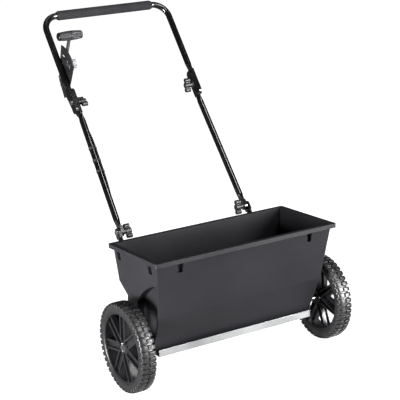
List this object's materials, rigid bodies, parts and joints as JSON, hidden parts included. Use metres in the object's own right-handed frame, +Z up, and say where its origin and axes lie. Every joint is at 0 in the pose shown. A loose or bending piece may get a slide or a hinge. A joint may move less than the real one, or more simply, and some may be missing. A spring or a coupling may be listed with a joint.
{
  "type": "garden spreader",
  "caption": "Walk-behind drop spreader: long tapered plastic hopper with a metal drop tray on lugged wheels, folding tube handle with a foam grip and a flow lever.",
  "frame": {"origin": "centre of the overall box in plan, at floor level", "axes": "+X right along the axle, +Y towards the person who pushes (the handle), +Z up"},
  "size_m": [0.694, 0.7798, 0.987],
  "materials": {
    "hopper_plastic": "fine moulded grain, satin",
    "tube_paint": "gloss powder coat",
    "tray_steel": "bright zinc plated sheet",
    "zinc_steel": "zinc plated",
    "wheel_plastic": "moulded, satin",
    "tyre": "moulded lugs, dull",
    "grip_foam": "ribbed foam",
    "lever_grip_plastic": "moulded, satin",
    "knob_plastic": "moulded, gloss",
    "rate_knob_plastic": "moulded, satin",
    "plate_plastic": "moulded, satin",
    "cable_sheath": "smooth",
    "nylon": "moulded nylon"
  },
  "bodies": {
    "frame": {"hopper": "hopper_plastic", "bottom_tray": "tray_steel", "tray_screws": "zinc_steel", "shutter_straps": "zinc_steel", "cable_anchor": "zinc_steel", "cable_ferrule": "zinc_steel", "shutter_spring": "zinc_steel", "axle_bush_left": "nylon", "axle_bush_right": "nylon", "frame_tube_left": "tube_paint", "frame_tube_right": "tube_paint", "frame_ears": "tube_paint", "frame_bolts": "zinc_steel", "frame_nuts": "zinc_steel", "saddle_washers": "zinc_steel", "support_leg": "tube_paint", "base_bolts": "zinc_steel", "cable_lower": "cable_sheath"},
    "drive": {"axle": "zinc_steel", "agitator": "zinc_steel", "axle_spacers": "zinc_steel", "axle_washers": "zinc_steel", "cotter_pins": "zinc_steel", "drive_pin": "zinc_steel", "wheel_right": "wheel_plastic", "tyre_right": "tyre"},
    "left_wheel": {"wheel_left": "wheel_plastic", "tyre_left": "tyre"},
    "shutter": {"shutter": "zinc_steel", "shutter_wire": "zinc_steel"},
    "lower_handle": {"lower_tube_left": "tube_paint", "lower_tube_right": "tube_paint", "base_washers": "zinc_steel", "mid_bolts": "zinc_steel", "mid_washers": "zinc_steel", "cable_clips": "nylon"},
    "upper_handle": {"upper_handle": "tube_paint", "foam_grip": "grip_foam", "quadrant_plate": "plate_plastic", "plate_screws": "zinc_steel", "lever_pivot_bolt": "zinc_steel", "cable_adjuster": "nylon", "cable_upper": "cable_sheath"},
    "lever": {"lever": "zinc_steel", "lever_grip_left": "lever_grip_plastic", "lever_grip_right": "lever_grip_plastic", "cable_nipple": "zinc_steel", "lever_wire": "zinc_steel"},
    "rate_stop": {"rate_stop": "zinc_steel"},
    "rate_knob": {"rate_knob": "rate_knob_plastic"},
    "base_knob_left": {"base_knob_left": "knob_plastic"},
    "base_knob_right": {"base_knob_right": "knob_plastic"},
    "mid_knob_left": {"mid_knob_left": "knob_plastic"},
    "mid_knob_right": {"mid_knob_right": "knob_plastic"}
  },
  "joints": [
    {"name": "axle_spin", "type": "hinge", "parent": "frame", "child": "drive", "pos_m": [0, -0.25343, 0.127], "axis": [1, 0, 0], "continuous": true},
    {"name": "left_wheel_spin", "type": "hinge", "parent": "frame", "child": "left_wheel", "pos_m": [0, -0.25343, 0.127], "axis": [1, 0, 0], "continuous": true},
    {"name": "shutter_slide", "type": "slide", "parent": "frame", "child": "shutter", "axis": [0, 1, 0], "range_m": [-0.00419, 0.00419], "deforming": ["shutter_spring"]},
    {"name": "lower_fold", "type": "hinge", "parent": "frame", "child": "lower_handle", "pos_m": [0, -0.03903, 0.385], "axis": [1, 0, 0], "range_deg": [0, 90], "deforming": ["cable_lower"]},
    {"name": "upper_fold", "type": "hinge", "parent": "lower_handle", "child": "upper_handle", "pos_m": [0, 0.20538, 0.73147], "axis": [1, 0, 0], "range_deg": [0, 120], "deforming": ["cable_upper"]},
    {"name": "lever_swing", "type": "hinge", "parent": "upper_handle", "child": "lever", "pos_m": [0, 0.29181, 0.80022], "axis": [1, 0, 0], "range_deg": [-8, 8], "deforming": ["lever_wire"]},
    {"name": "rate_slide", "type": "hinge", "parent": "upper_handle", "child": "rate_stop", "pos_m": [0, 0.29181, 0.80022], "axis": [1, 0, 0], "range_deg": [-2, 8]},
    {"name": "rate_knob_turn", "type": "hinge", "parent": "rate_stop", "child": "rate_knob", "pos_m": [0, 0.23685, 0.84193], "axis": [1, 0, 0], "continuous": true},
    {"name": "base_knob_left_turn", "type": "hinge", "parent": "frame", "child": "base_knob_left", "pos_m": [0, -0.03903, 0.385], "axis": [1, 0, 0], "continuous": true},
    {"name": "base_knob_right_turn", "type": "hinge", "parent": "frame", "child": "base_knob_right", "pos_m": [0, -0.03903, 0.385], "axis": [1, 0, 0], "continuous": true},
    {"name": "mid_knob_left_turn", "type": "hinge", "parent": "lower_handle", "child": "mid_knob_left", "pos_m": [0, 0.20538, 0.73147], "axis": [1, 0, 0], "continuous": true},
    {"name": "mid_knob_right_turn", "type": "hinge", "parent": "lower_handle", "child": "mid_knob_right", "pos_m": [0, 0.20538, 0.73147], "axis": [1, 0, 0], "continuous": true}
  ],
  "couplings": [
    {"joint": "shutter_slide", "follows": "lever_swing", "m_per_rad": 0.03}
  ]
}
